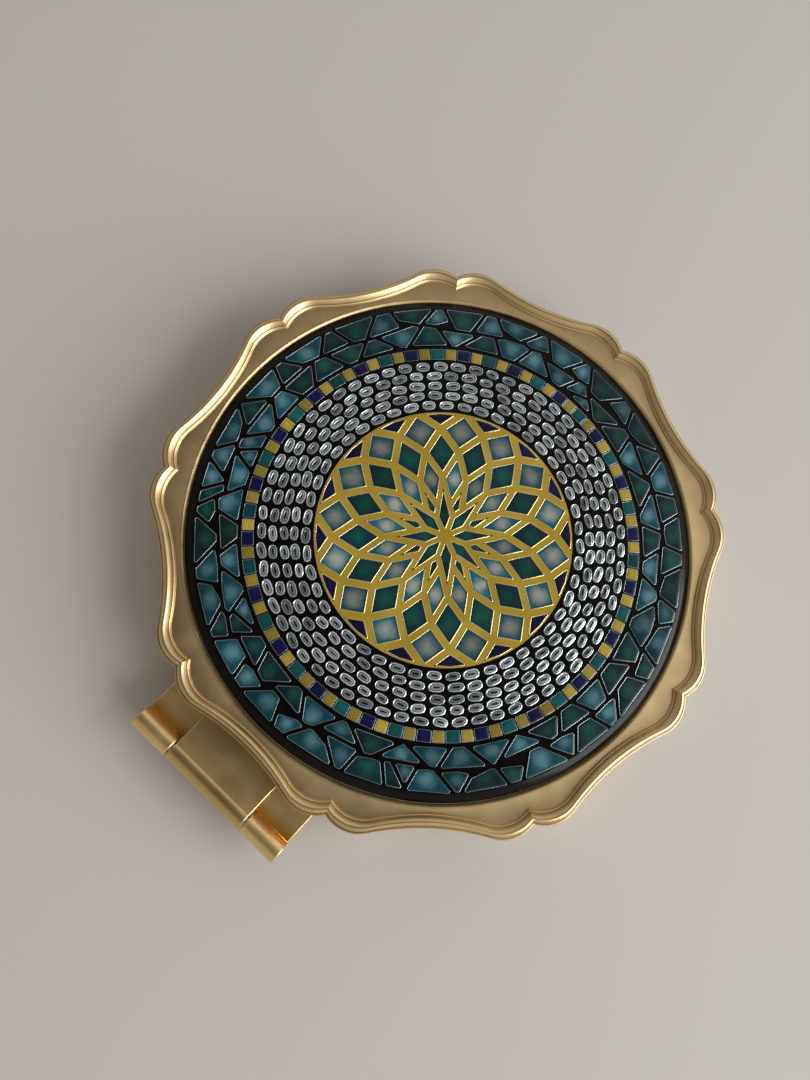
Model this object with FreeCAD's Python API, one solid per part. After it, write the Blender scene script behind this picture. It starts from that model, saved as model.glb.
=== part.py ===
# Compact mirror: two scalloped metal halves on a barrel hinge, a round mirror in each half,
# and a mosaic medallion set into the lid. Millimetres, +Z up.
# The origin is the centre of the flat underside. The hinge runs along X on the -Y side.

import FreeCAD
import Part
import math
import os
import random

from FreeCAD import Vector

# Scalloped outline, the same for both halves
lobe_count = 9
outline_radius = 40.0          # centre to the crown of a shoulder
shoulder_round = 5.12          # radius of a shoulder
notch_offset = 2.9             # shoulder centre to the line of the notch beside it
lobe_hollow = 1.06             # depth of the hollow between the two shoulders of a lobe

# Lid rim, from the outside in
bead_width = 1.65
bead_height = 0.9              # crown of the bead above the pan
groove_height = 0.1            # bottom of the groove above the pan
ridge_width = 0.5
ridge_rise = 0.25              # crown of the ridge above the groove
pan_width = 0.76               # flat pan at its narrowest

# Thickness of the halves, from the lid's top down
seat_depth = 0.45              # medallion seat below the pan
web_thickness = 1.0            # metal between the medallion and the lid mirror
mirror_pad_thickness = 0.3     # adhesive pad behind a mirror
mirror_thickness = 1.6
mirror_setback = 0.35          # mirror face below the edge of its half
parting_gap = 0.2              # between the two halves when shut
edge_chamfer = 0.25            # along the parting line
foot_round = 1.0               # round edge of the underside
foot_groove_radius = 31.0      # decorative line in the underside
foot_groove_width = 0.5
foot_groove_depth = 0.25

# Mirrors
mirror_land = 4.5              # flat rim around a mirror at its narrowest
mirror_clearance = 0.2
mirror_pad_margin = 1.0        # pad edge inside the mirror's edge
magnifier_sag = 0.5            # hollow of the base mirror at its middle

# Hinge
hinge_reach = 4.45             # shoulder crown to the hinge axis
barrel_radius = 1.55
middle_knuckle = 13.1
outer_knuckle = 5.85
knuckle_gap = 0.25
barrel_clearance = 0.3         # base leaf to the turning middle knuckle
leaf_thickness = 0.8
leaf_drop = 0.3                # face of a leaf below the crown of its barrel
leaf_set = 2.2                 # depth of a leaf in the wall of its half
leaf_clearance = 0.05
pin_radius = 0.7
pin_fit = 0.01                 # pin in the outer knuckles, held
pin_running_fit = 0.04         # pin in the middle knuckle, turning
pin_inset = 0.1                # pin end inside the barrel end

# Closing magnets, a pair in each half beside the notch across from the hinge
magnet_radius = 1.5
magnet_thickness = 1.2
magnet_clearance = 0.05

# Medallion plate
seat_clearance = 0.15
seat_chamfer = 0.2
medallion_thickness = 0.85
medallion_edge_round = 0.5
medallion_glue = 0.15
medallion_glue_margin = 0.6

# Mosaic bands of the medallion, from the outside in
border_width = 1.55            # bare black edge
shard_ring_width = 5.4
ring_gap = 0.53                # bare black line between two bands
band_width = 1.55
bead_gap = 0.32                # bare black line beside the rows of beads
bead_row_pitch = 1.46          # rows of beads fill the room around the rosette
rosette_share = 0.51           # rosette against the radius of the medallion

# Shards
shard_relief = 0.2
shard_pitch = 3.9              # along a row
shard_joint = 0.66
shard_joint_shares = (0.8, 1.3)  # narrowest and widest joint, against the joint above
shard_rise = 0.42              # wander of the line between the two rows
shard_lean_shares = (0.3, 0.85)  # lean of a joint, against the pitch
shard_wander_share = 0.06      # wander of a joint along its row, against the pitch
broken_share = 0.35            # shards that are broken in two where both pieces are large enough
least_shard_side = 1.25        # side of a square as large as the smallest piece
blue_shard_share = 0.55
shard_seed = 4

# Square tiles of the narrow band
band_relief = 0.16
gold_tile_width = 1.5
colour_tile_width = 1.85
band_joint = 0.18

# Oval beads
bead_length = 2.3
bead_breadth = 1.36
bead_relief = 0.3
bead_top_share = 0.55          # top face of a bead against its foot
bead_spacing = 2.5             # along a row

# Rosette
rosette_fold = 16
rosette_tiers = 4
lattice_bar_share = 0.051      # lattice bar at the border against the radius of the rosette
bar_taper_share = 0.55         # lattice bar at the middle against the bar at the border
lattice_relief = 0.2
rosette_rim = 0.15
rosette_hub_share = 0.06       # hub against the radius of the rosette
rosette_tile_relief = 0.14
tile_clearance = 0.04

# Resolution and overrun of cuts
bead_steps = 8
ridge_steps = 4
round_steps = 4
overrun = 1.0

# Derived places of the outline
lobe_half_angle = math.pi / lobe_count
shoulder_centre_radius = outline_radius - shoulder_round


def shoulder_angle(centre_radius):
    """Angle from a lobe's middle line to its shoulder centre."""
    return lobe_half_angle - math.asin(notch_offset / centre_radius)


def lobe_middle_radius(centre_radius):
    """Distance from the origin to the hollow in the middle of a lobe."""
    shoulder_x = centre_radius * math.cos(shoulder_angle(centre_radius))
    return shoulder_x + shoulder_round - lobe_hollow


middle_radius = lobe_middle_radius(shoulder_centre_radius)
rim_width = bead_width + ridge_width
seat_radius = middle_radius - rim_width - pan_width
medallion_radius = seat_radius - seat_clearance
recess_radius = middle_radius - mirror_land
mirror_radius = recess_radius - mirror_clearance

# Derived heights
recess_depth = mirror_setback + mirror_thickness + mirror_pad_thickness
half_depth = bead_height + seat_depth + web_thickness + recess_depth
base_top = half_depth
lid_bottom = half_depth + parting_gap
lid_top = lid_bottom + half_depth
hinge_z = half_depth + parting_gap / 2
pan_z = lid_top - bead_height
seat_z = pan_z - seat_depth
lid_recess_z = lid_bottom + recess_depth
base_recess_z = base_top - recess_depth
plate_bottom_z = seat_z + medallion_glue
plate_top_z = plate_bottom_z + medallion_thickness

# Derived places of the hinge
hinge_y = -(outline_radius + hinge_reach)
leaf_end_y = -(middle_radius - leaf_set)
barrel_length = middle_knuckle + 2 * (outer_knuckle + knuckle_gap)

# Derived radii of the mosaic bands
shard_outer = medallion_radius - border_width
shard_inner = shard_outer - shard_ring_width
shard_middle = (shard_outer + shard_inner) / 2
band_outer = shard_inner - ring_gap
band_inner = band_outer - band_width
beads_outer = band_inner - bead_gap
rosette_radius = medallion_radius * rosette_share
rosette_hub_radius = rosette_radius * rosette_hub_share
lattice_bar = rosette_radius * lattice_bar_share
beads_inner = rosette_radius + bead_gap
bead_row_count = round((beads_outer - beads_inner) / bead_row_pitch)
bead_row_step = (beads_outer - beads_inner) / bead_row_count


def polar(radius, angle):
    return (radius * math.cos(angle), radius * math.sin(angle))


def point(place, z):
    return Vector(place[0], place[1], z)


def rod(radius, start, end):
    """Cylinder between two points."""
    axis = end - start
    return Part.makeCylinder(radius, axis.Length, start, axis)


def disc(radius, z, height):
    return Part.makeCylinder(radius, height, Vector(0, 0, z))


def block(x_half, y_low, y_high, z_low, z_high):
    """Box that is centred on the YZ plane."""
    corner = Vector(-x_half, y_low, z_low)
    return Part.makeBox(2 * x_half, y_high - y_low, z_high - z_low, corner)


# Scalloped halves
def lobe_arcs(inset, z, middle_angle):
    """Shoulder, hollow and shoulder of one lobe, moved inwards by inset."""
    centre_radius = shoulder_centre_radius - inset
    side = shoulder_angle(centre_radius)
    centre_x, centre_y = polar(centre_radius, side)
    reach = shoulder_round - lobe_hollow
    hollow_round = (reach**2 + centre_y**2 - shoulder_round**2) / (2 * lobe_hollow)
    hollow_x = centre_x + reach + hollow_round
    notch_radius = math.sqrt(centre_radius**2 - notch_offset**2)
    notch_radius += math.sqrt(shoulder_round**2 - notch_offset**2)
    notch_x, notch_y = polar(notch_radius, lobe_half_angle)
    start = math.atan2(notch_y - centre_y, notch_x - centre_x)
    end = math.atan2(-centre_y, hollow_x - centre_x)

    def place(x, y):
        radius = math.hypot(x, y)
        return point(polar(radius, math.atan2(y, x) + middle_angle), z)

    def on_shoulder(angle, mirror):
        x = centre_x + shoulder_round * math.cos(angle)
        y = centre_y + shoulder_round * math.sin(angle)
        return place(x, mirror * y)

    between = (start + end) / 2
    first = [on_shoulder(angle, -1) for angle in (start, between, end)]
    last = [on_shoulder(angle, 1) for angle in (end, between, start)]
    hollow = [first[-1], place(centre_x + reach, 0), last[0]]
    return [Part.Arc(*points).toShape() for points in (first, hollow, last)]


def scalloped_wire(inset, z):
    edges = []
    for lobe in range(lobe_count):
        middle_angle = -math.pi / 2 + 2 * lobe_half_angle * lobe
        edges += lobe_arcs(inset, z, middle_angle)
    return Part.Wire(edges)


def scalloped_solid(levels):
    """Solid through scalloped outlines, given as inset and height from the bottom up."""
    return Part.makeLoft([scalloped_wire(inset, z) for inset, z in levels], True, True)


def arch_levels(inset, width, z, rise, steps):
    """Half an ellipse over the rim, without its first point."""
    levels = []
    for step in range(1, steps + 1):
        angle = math.pi * step / steps
        across = inset + width / 2 * (1 - math.cos(angle))
        levels.append((across, z + rise * math.sin(angle)))
    return levels


def magnet_places():
    angle = math.asin(notch_offset / shoulder_centre_radius)
    radius = (recess_radius + outline_radius) / 2
    return [polar(radius, math.pi / 2 + side * angle) for side in (-1, 1)]


def magnets(radius, z, height):
    return [rod(radius, point(place, z), point(place, z + height)) for place in magnet_places()]


def leaf_slot(width, z_low, z_high):
    """Slot in the wall for a hinge leaf, open to the outside."""
    return block(
        width / 2 + leaf_clearance,
        hinge_y,
        leaf_end_y + leaf_clearance,
        z_low - leaf_clearance,
        z_high + leaf_clearance,
    )


def make_lid_frame():
    groove_z = pan_z + groove_height
    levels = [(edge_chamfer, lid_bottom), (0, lid_bottom + edge_chamfer), (0, groove_z)]
    levels += arch_levels(0, bead_width, groove_z, bead_height - groove_height, bead_steps)
    levels += arch_levels(bead_width, ridge_width, groove_z, ridge_rise, ridge_steps)
    levels.append((rim_width, pan_z))
    seat = disc(seat_radius, seat_z, seat_depth + overrun)
    chamfer = Part.makeCone(
        seat_radius, seat_radius + seat_chamfer, seat_chamfer, Vector(0, 0, pan_z - seat_chamfer)
    )
    recess = disc(recess_radius, lid_bottom - overrun, recess_depth + overrun)
    slot = leaf_slot(middle_knuckle, lid_leaf_low, lid_leaf_high)
    pockets = magnets(magnet_radius + magnet_clearance, lid_bottom, magnet_thickness)
    return scalloped_solid(levels).cut([seat, chamfer, recess, slot] + pockets)


def make_base_frame():
    levels = []
    for step in range(round_steps + 1):
        angle = math.pi / 2 * step / round_steps
        levels.append((foot_round * (1 - math.sin(angle)), foot_round * (1 - math.cos(angle))))
    levels += [(0, base_top - edge_chamfer), (edge_chamfer, base_top)]
    recess = disc(recess_radius, base_recess_z, recess_depth + overrun)
    slot = leaf_slot(barrel_length, base_leaf_low, base_leaf_high)
    pockets = magnets(magnet_radius + magnet_clearance, base_top - magnet_thickness, magnet_thickness)
    groove_reach = foot_groove_depth + overrun
    groove = disc(foot_groove_radius, -overrun, groove_reach)
    groove = groove.cut(disc(foot_groove_radius - foot_groove_width, -overrun, groove_reach))
    return scalloped_solid(levels).cut([recess, slot, groove] + pockets)


# Hinge
leaf_face = barrel_radius - leaf_drop
lid_leaf_high = hinge_z + leaf_face
lid_leaf_low = lid_leaf_high - leaf_thickness
base_leaf_low = hinge_z - leaf_face
base_leaf_high = base_leaf_low + leaf_thickness


def hinge_leaf(length, side):
    """Plate that meets the barrel just below its top (side 1) or above its bottom (side -1)."""
    face_z = hinge_z + side * leaf_face
    back_z = face_z - side * leaf_thickness
    brow_y = hinge_y + math.sqrt(barrel_radius**2 - leaf_face**2)
    neck_y = hinge_y + math.sqrt(barrel_radius**2 - (leaf_face - leaf_thickness)**2)
    start_x = -length / 2

    def corner(y, z):
        return Vector(start_x, y, z)

    barrel = Part.Arc(
        corner(brow_y, face_z),
        corner(hinge_y - barrel_radius, hinge_z),
        corner(neck_y, back_z),
    )
    wire = Part.Wire([
        Part.makeLine(corner(leaf_end_y, face_z), corner(brow_y, face_z)),
        barrel.toShape(),
        Part.makeLine(corner(neck_y, back_z), corner(leaf_end_y, back_z)),
        Part.makeLine(corner(leaf_end_y, back_z), corner(leaf_end_y, face_z)),
    ])
    return Part.Face(wire).extrude(Vector(length, 0, 0))


def hinge_rod(radius, length):
    return rod(radius, Vector(-length / 2, hinge_y, hinge_z), Vector(length / 2, hinge_y, hinge_z))


def make_lid_hinge_leaf():
    bore = hinge_rod(pin_radius + pin_running_fit, barrel_length)
    return hinge_leaf(middle_knuckle, 1).cut(bore)


def make_base_hinge_leaf():
    bore = hinge_rod(pin_radius + pin_fit, barrel_length + overrun)
    room = block(
        middle_knuckle / 2 + knuckle_gap,
        hinge_y - barrel_radius - overrun,
        hinge_y + barrel_radius + barrel_clearance,
        base_leaf_low - overrun,
        hinge_z + barrel_radius + overrun,
    )
    return hinge_leaf(barrel_length, -1).cut([bore, room])


# Mirrors
def make_base_mirror():
    bottom = base_recess_z + mirror_pad_thickness
    glass = disc(mirror_radius, bottom, mirror_thickness)
    hollow_radius = (mirror_radius**2 + magnifier_sag**2) / (2 * magnifier_sag)
    centre_z = bottom + mirror_thickness - magnifier_sag + hollow_radius
    return glass.cut(Part.makeSphere(hollow_radius, Vector(0, 0, centre_z)))


# Medallion
def make_medallion_plate():
    """Turned disc with a rounded upper edge."""
    inner = medallion_radius - medallion_edge_round
    shoulder_z = plate_top_z - medallion_edge_round
    slant = medallion_edge_round * math.sqrt(2) / 2
    edge_round = Part.Arc(
        Vector(medallion_radius, 0, shoulder_z),
        Vector(inner + slant, 0, shoulder_z + slant),
        Vector(inner, 0, plate_top_z),
    )
    wire = Part.Wire([
        Part.makeLine(Vector(0, 0, plate_bottom_z), Vector(medallion_radius, 0, plate_bottom_z)),
        Part.makeLine(Vector(medallion_radius, 0, plate_bottom_z), Vector(medallion_radius, 0, shoulder_z)),
        edge_round.toShape(),
        Part.makeLine(Vector(inner, 0, plate_top_z), Vector(0, 0, plate_top_z)),
        Part.makeLine(Vector(0, 0, plate_top_z), Vector(0, 0, plate_bottom_z)),
    ])
    return Part.Face(wire).revolve(Vector(0, 0, 0), Vector(0, 0, 1), 360)


# Flat tiles, as convex outlines that run anticlockwise
def clipped(outline, place, normal):
    """Part of an outline on the side of a line that the normal points to."""
    heights = [(x - place[0]) * normal[0] + (y - place[1]) * normal[1] for x, y in outline]
    kept = []
    for index, here in enumerate(outline):
        before = outline[index - 1]
        high, low = heights[index], heights[index - 1]
        if high * low < 0:
            share = low / (low - high)
            cut_x = before[0] + (here[0] - before[0]) * share
            cut_y = before[1] + (here[1] - before[1]) * share
            kept.append((cut_x, cut_y))
        if high >= 0:
            kept.append(here)
    return kept


def shrunk(outline, distance):
    """Outline with every side moved inwards."""
    result = outline
    for index, end in enumerate(outline):
        start = outline[index - 1]
        along = (end[0] - start[0], end[1] - start[1])
        length = math.hypot(*along)
        normal = (-along[1] / length, along[0] / length)
        place = (start[0] + normal[0] * distance, start[1] + normal[1] * distance)
        result = clipped(result, place, normal)
    return result


def tile_face(outline, z):
    corners = [point(place, z) for place in outline]
    return Part.Face(Part.makePolygon(corners + corners[:1]))


def tiles(outlines, relief):
    """Flat tiles that stand on the medallion plate."""
    rise = Vector(0, 0, relief)
    return Part.makeCompound([tile_face(outline, plate_top_z).extrude(rise) for outline in outlines])


def outline_area(outline):
    doubled = 0
    for index, end in enumerate(outline):
        start = outline[index - 1]
        doubled += start[0] * end[1] - end[0] * start[1]
    return doubled / 2


# Outer ring of glass shards: two rows, with a wandering line between them
def shard_joints(radius, chance):
    """Foot and head angles of a row's joints, which lean to one side and the other by turns."""
    count = 2 * round(math.pi * radius / shard_pitch)
    pitch = 2 * math.pi / count
    joints = []
    for index in range(count):
        angle = pitch * (index + chance.uniform(-1, 1) * shard_wander_share)
        lean = pitch * chance.uniform(*shard_lean_shares) / 2 * (-1)**index
        joints.append((angle + lean, angle - lean))
    return joints


def shard_row(feet, heads):
    return [[feet[index - 1], heads[index - 1], heads[index], feet[index]] for index in range(len(feet))]


def turn_between(first, second):
    """Angle between two places, seen from the origin."""
    turn = math.atan2(second[1], second[0]) - math.atan2(first[1], first[0])
    return abs(math.remainder(turn, 2 * math.pi))


def above_line(shard, knots):
    """Part of an outer shard that lies outside the line between the rows."""
    middle = (sum(x for x, y in shard), sum(y for x, y in shard))
    half_span = max(turn_between(middle, corner) for corner in shard)
    for index, end in enumerate(knots):
        start = knots[index - 1]
        chord_middle = (start[0] + end[0], start[1] + end[1])
        if turn_between(middle, chord_middle) < half_span + turn_between(start, end) / 2:
            shard = clipped(shard, start, (end[1] - start[1], start[0] - end[0]))
    return shard


def broken(shard, chance):
    """Two pieces of a shard, parted along a line from one corner to a place across from it."""
    corner = chance.randrange(len(shard))
    across = shard[(corner + 2) % len(shard)]
    beside = shard[(corner + 1) % len(shard)]
    share = chance.uniform(0, 1 / 2)
    start = shard[corner]
    along_x = across[0] + (beside[0] - across[0]) * share - start[0]
    along_y = across[1] + (beside[1] - across[1]) * share - start[1]
    return [clipped(shard, start, (-along_y, along_x)), clipped(shard, start, (along_y, -along_x))]


def shard_outlines():
    """All shards, as a blue set and a green set."""
    chance = random.Random(shard_seed)
    inner_joints = shard_joints((shard_inner + shard_middle) / 2, chance)
    outer_joints = shard_joints((shard_outer + shard_middle) / 2, chance)
    inner_feet = [polar(shard_inner, foot) for foot, head in inner_joints]
    knots = []
    for foot, head in inner_joints:
        knots.append(polar(shard_middle + shard_rise * chance.uniform(-1, 1), head))
    outer_feet = [polar(shard_middle - shard_rise, foot) for foot, head in outer_joints]
    outer_heads = [polar(shard_outer, head) for foot, head in outer_joints]
    shards = shard_row(inner_feet, knots)
    shards += [above_line(shard, knots) for shard in shard_row(outer_feet, outer_heads)]
    least_area = least_shard_side**2
    sets = {True: [], False: []}
    for shard in shards:
        half_joint = shard_joint / 2 * chance.uniform(*shard_joint_shares)
        whole = shrunk(shard, half_joint)
        if outline_area(whole) < least_area:
            continue
        pieces = [shrunk(piece, half_joint) for piece in broken(shard, chance)]
        if chance.random() > broken_share or min(map(outline_area, pieces)) < least_area:
            pieces = [whole]
        for piece in pieces:
            sets[chance.random() < blue_shard_share].append(piece)
    return sets[True], sets[False]


# Narrow band of square tiles: gold, teal, gold, navy, and so on
def band_outlines():
    radius = (band_outer + band_inner) / 2
    pair_length = gold_tile_width + colour_tile_width + 2 * band_joint
    pairs = 2 * int(math.pi * radius / pair_length)
    pitch = 2 * math.pi / pairs

    def square(angle, width):
        half_angle = width / 2 / radius
        return [
            polar(band_inner, angle - half_angle),
            polar(band_outer, angle - half_angle),
            polar(band_outer, angle + half_angle),
            polar(band_inner, angle + half_angle),
        ]

    gold = [square(pair * pitch, gold_tile_width) for pair in range(pairs)]
    colour = [square((pair + 1 / 2) * pitch, colour_tile_width) for pair in range(pairs)]
    return gold, colour[::2], colour[1::2]


# Oval beads in staggered rows
def make_silver_beads():
    def oval(share, z):
        long_half = bead_length / 2 * share
        short_half = bead_breadth / 2 * share
        return Part.Wire(Part.Ellipse(Vector(0, 0, z), long_half, short_half).toShape())

    bead_top_z = plate_top_z + bead_relief
    bead = Part.makeLoft([oval(1, plate_top_z), oval(bead_top_share, bead_top_z)], True, True)
    beads = []
    for row in range(bead_row_count):
        radius = beads_inner + (row + 1 / 2) * bead_row_step
        count = int(2 * math.pi * radius / bead_spacing)
        for index in range(count):
            turn = 360 * (index + row / 2) / count
            copy = bead.copy()
            copy.translate(Vector(0, -radius, 0))
            copy.rotate(Vector(0, 0, 0), Vector(0, 0, 1), turn)
            beads.append(copy)
    return Part.makeCompound(beads)


# Rosette: a star around a hub, rings of rhombs, and navy triangles at the border
def half_bar(tier):
    return lattice_bar / 2 * (bar_taper_share + (1 - bar_taper_share) * tier / rosette_tiers)


def rose_point(tier, step):
    unit = math.pi / rosette_fold
    tip_radius = rosette_radius + lattice_bar / 2 - rosette_rim
    radius = tip_radius * math.sin(tier * unit) / math.sin((rosette_tiers + 1) * unit)
    return polar(radius, 2 * unit * (step + tier / 2))


def rose_windows(tier):
    """Openings in the lattice for one ring of rhombs."""
    windows = []
    for step in range(rosette_fold):
        rhomb = [
            rose_point(tier - 1, step + 1),
            rose_point(tier, step),
            rose_point(tier + 1, step),
            rose_point(tier, step + 1),
        ]
        windows.append(shrunk(rhomb, half_bar(tier)))
    return windows


def star_windows():
    """Openings for the star: kites that meet at the hub, with a rhomb between each two."""
    turn = 2 * math.pi / rosette_fold
    tip_radius = math.hypot(*rose_point(2, 0))
    side_x, side_y = polar(math.hypot(*rose_point(1, 0)), turn / 2)
    slope = side_y / (tip_radius - side_x)
    fork_x = slope * tip_radius / (math.tan(turn) + slope)
    fork_radius = fork_x / math.cos(turn)
    windows = []
    for step in range(rosette_fold):
        left, axis, right = [turn * (step + 1 + side) for side in (-1, 0, 1)]
        tip = polar(tip_radius, axis)
        if step % 2:
            shape = [(0, 0), polar(fork_radius, left), tip, polar(fork_radius, right)]
        else:
            shape = [polar(fork_radius, axis), rose_point(1, step), tip, rose_point(1, step + 1)]
        outwards = polar(1, axis)
        hub_edge = polar(rosette_hub_radius, axis)
        windows.append(clipped(shrunk(shape, half_bar(1)), hub_edge, outwards))
    return windows


def rose_border_windows():
    windows = []
    last = rosette_tiers
    for step in range(rosette_fold):
        before = rose_point(last + 1, step - 1)
        after = rose_point(last + 1, step)
        valley = rose_point(last, step)
        crown = polar(math.hypot(*after), math.atan2(valley[1], valley[0]))
        windows.append(shrunk([valley, before, crown, after], half_bar(last)))
    return windows


def make_rosette_lattice():
    windows = rose_border_windows() + star_windows()
    for tier in range(2, rosette_tiers + 1):
        windows += rose_windows(tier)
    rim = Part.Wire(Part.Circle(Vector(0, 0, plate_top_z), Vector(0, 0, 1), rosette_radius).toShape())
    holes = [tile_face(window, plate_top_z).OuterWire for window in windows]
    sheet = Part.makeFace([rim] + holes, "Part::FaceMakerBullseye")
    return sheet.extrude(Vector(0, 0, lattice_relief))


def rosette_tiles(windows):
    return tiles([shrunk(window, tile_clearance) for window in windows], rosette_tile_relief)


blue_shards, green_shards = shard_outlines()
gold_squares, teal_squares, navy_squares = band_outlines()
pad_radius = mirror_radius - mirror_pad_margin
lid_glass_z = lid_recess_z - mirror_pad_thickness - mirror_thickness
base_magnet_z = base_top - magnet_thickness

nodes = {
    "base_frame": make_base_frame(),
    "base_hinge_leaf": make_base_hinge_leaf(),
    "hinge_pin": hinge_rod(pin_radius, barrel_length - 2 * pin_inset),
    "base_mirror": make_base_mirror(),
    "base_mirror_pad": disc(pad_radius, base_recess_z, mirror_pad_thickness),
    "base_magnets": Part.makeCompound(magnets(magnet_radius, base_magnet_z, magnet_thickness)),
    "lid_frame": make_lid_frame(),
    "lid_hinge_leaf": make_lid_hinge_leaf(),
    "lid_mirror": disc(mirror_radius, lid_glass_z, mirror_thickness),
    "lid_mirror_pad": disc(pad_radius, lid_recess_z - mirror_pad_thickness, mirror_pad_thickness),
    "lid_magnets": Part.makeCompound(magnets(magnet_radius, lid_bottom, magnet_thickness)),
    "medallion_plate": make_medallion_plate(),
    "medallion_glue": disc(medallion_radius - medallion_glue_margin, seat_z, medallion_glue),
    "shard_tiles_blue": tiles(blue_shards, shard_relief),
    "shard_tiles_green": tiles(green_shards, shard_relief),
    "band_tiles_gold": tiles(gold_squares, band_relief),
    "band_tiles_teal": tiles(teal_squares, band_relief),
    "band_tiles_navy": tiles(navy_squares, band_relief),
    "silver_beads": make_silver_beads(),
    "rosette_lattice": make_rosette_lattice(),
    "rosette_tiles_blue": rosette_tiles(rose_windows(2) + rose_windows(4)),
    "rosette_tiles_green": rosette_tiles(star_windows() + rose_windows(3)),
    "rosette_border_tiles": rosette_tiles(rose_border_windows()),
}

os.makedirs("parts", exist_ok=True)
for name, shape in nodes.items():
    shape.exportStep("parts/" + name + ".step")
    print(name, len(shape.Solids), "solids", round(shape.Volume, 2), "mm3", "valid", shape.isValid())
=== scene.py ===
# %% [markdown]
# # A scalloped compact mirror with a mosaic lid
# The real object is a flat satin-gold case for the handbag. Two scalloped halves turn on a barrel
# hinge, each half holds a round mirror, and a black disc with glass mosaic is let into the lid.
# The CAD frame already says where every solid is. This lesson gives those solids their looks.

# %% Load the frame
import math

import bmesh
import bpy
from mathutils import Matrix, Vector


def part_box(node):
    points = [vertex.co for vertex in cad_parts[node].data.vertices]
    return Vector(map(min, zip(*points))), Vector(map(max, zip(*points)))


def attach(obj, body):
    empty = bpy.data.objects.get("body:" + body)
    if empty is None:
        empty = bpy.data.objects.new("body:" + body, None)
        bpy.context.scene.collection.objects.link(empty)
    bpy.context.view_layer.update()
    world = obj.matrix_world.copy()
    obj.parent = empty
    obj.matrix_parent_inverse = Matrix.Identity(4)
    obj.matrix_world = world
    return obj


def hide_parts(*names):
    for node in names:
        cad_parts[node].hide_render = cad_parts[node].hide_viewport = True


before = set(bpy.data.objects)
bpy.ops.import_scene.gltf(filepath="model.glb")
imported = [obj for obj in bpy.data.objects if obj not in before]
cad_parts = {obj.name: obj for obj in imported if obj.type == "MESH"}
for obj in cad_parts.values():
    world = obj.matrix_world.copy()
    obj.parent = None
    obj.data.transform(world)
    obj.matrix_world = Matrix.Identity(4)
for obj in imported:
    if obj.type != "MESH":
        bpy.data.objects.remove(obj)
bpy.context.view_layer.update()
mm = 0.001
micron = 0.001 * mm

# %% [markdown]
# ## Camera
# The photograph was taken with a wide lens, about a hand's breadth above the lid, so the near rim looks
# larger than the far one. A camera could be placed by eye, but the nine notches of the scalloped
# outline show well, so they were used to work out the lens, the place and three turns instead.
# The near clip has to be short, because the lid is closer than Blender's usual 10 cm.

# %% Camera
image_height = 1080
focal_pixels = 743.6
sensor_side = 36.0
near_clip = 5 * mm
tilt_angles = (-10.95, 5.23, 316.67)
lid_from_camera = Vector((5.365, 0.409, -101.414)) * mm
outline_z = 8.6 * mm


def new_object(name, data):
    thing = bpy.data.objects.new(name, data)
    bpy.context.scene.collection.objects.link(thing)
    return thing


to_camera = Matrix.Identity(3)
for angle, axis in zip(tilt_angles, "XYZ"):
    to_camera = to_camera @ Matrix.Rotation(math.radians(angle), 3, axis)
from_camera = to_camera.transposed()
camera_place = Vector((0, 0, outline_z)) - from_camera @ lid_from_camera

camera_data = bpy.data.cameras.new("photo_camera")
camera_data.sensor_width = sensor_side
camera_data.lens = focal_pixels / image_height * sensor_side
camera_data.clip_start = near_clip
camera = new_object("photo_camera", camera_data)
camera.matrix_world = Matrix.Translation(camera_place) @ from_camera.to_4x4()
bpy.context.scene.camera = camera
print("camera in mm:", [round(side / mm, 1) for side in camera_place], "lens", round(camera_data.lens, 2))

# %% [markdown]
# ## Nodes by script
# Materials and shapes below are node trees. Clicking hundreds of nodes together can't be repeated, so
# small helpers do it: they find a socket, fill it with a value or a link, add a node, and put together
# soft steps and mixed colours. Some nodes hide a socket for each data type, so only a socket in use
# counts. A sum could be written node by node, but it is easier to read in Python's own signs, so a
# small class turns each sign into a math node.

# %% Helpers for node trees
class Term:
    """Socket of a tree that takes part in sums: each of Python's signs adds a math node."""

    def __init__(self, tree, socket):
        self.tree = tree
        self.socket = socket

    def __add__(self, other):
        return calc(self.tree, "ADD", self, other)

    def __sub__(self, other):
        return calc(self.tree, "SUBTRACT", self, other)

    def __mul__(self, other):
        return calc(self.tree, "MULTIPLY", self, other)

    def __truediv__(self, other):
        return calc(self.tree, "DIVIDE", self, other)


def terms(tree, sockets):
    return {socket.name: Term(tree, socket) for socket in sockets}


def port(sockets, name):
    return next(socket for socket in sockets if socket.name == name and socket.enabled)


def feed(tree, socket, value):
    """Links another node's socket, or sets a plain value."""
    source = value.socket if isinstance(value, Term) else value
    if isinstance(source, bpy.types.NodeSocket):
        tree.links.new(source, socket)
    else:
        socket.default_value = value


def fill(tree, node, inputs):
    for name, value in inputs.items():
        feed(tree, port(node.inputs, name), value)


def add(tree, kind, inputs=None, **settings):
    node = tree.nodes.new(kind)
    for name, value in settings.items():
        setattr(node, name, value)
    fill(tree, node, inputs or {})
    return node


def calc(tree, operation, *values):
    node = add(tree, "ShaderNodeMath", operation=operation)
    for socket, value in zip(node.inputs, values):
        feed(tree, socket, value)
    return Term(tree, node.outputs[0])


def measure(tree, operation, first, second):
    """Number that two vectors give, such as their distance."""
    node = add(tree, "ShaderNodeVectorMath", operation=operation)
    feed(tree, node.inputs[0], first)
    feed(tree, node.inputs[1], second)
    return Term(tree, node.outputs["Value"])


def ranged(tree, value, low, high):
    """A value from 0 to 1, spread from low to high."""
    return calc(tree, "MULTIPLY_ADD", value, high - low, low)


def soft_step(tree, value, low, high):
    """Smooth change from 0 at low to 1 at high."""
    inputs = {"Value": value, "From Min": low, "From Max": high}
    node = add(tree, "ShaderNodeMapRange", inputs, interpolation_type="SMOOTHSTEP")
    return Term(tree, node.outputs["Result"])


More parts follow.
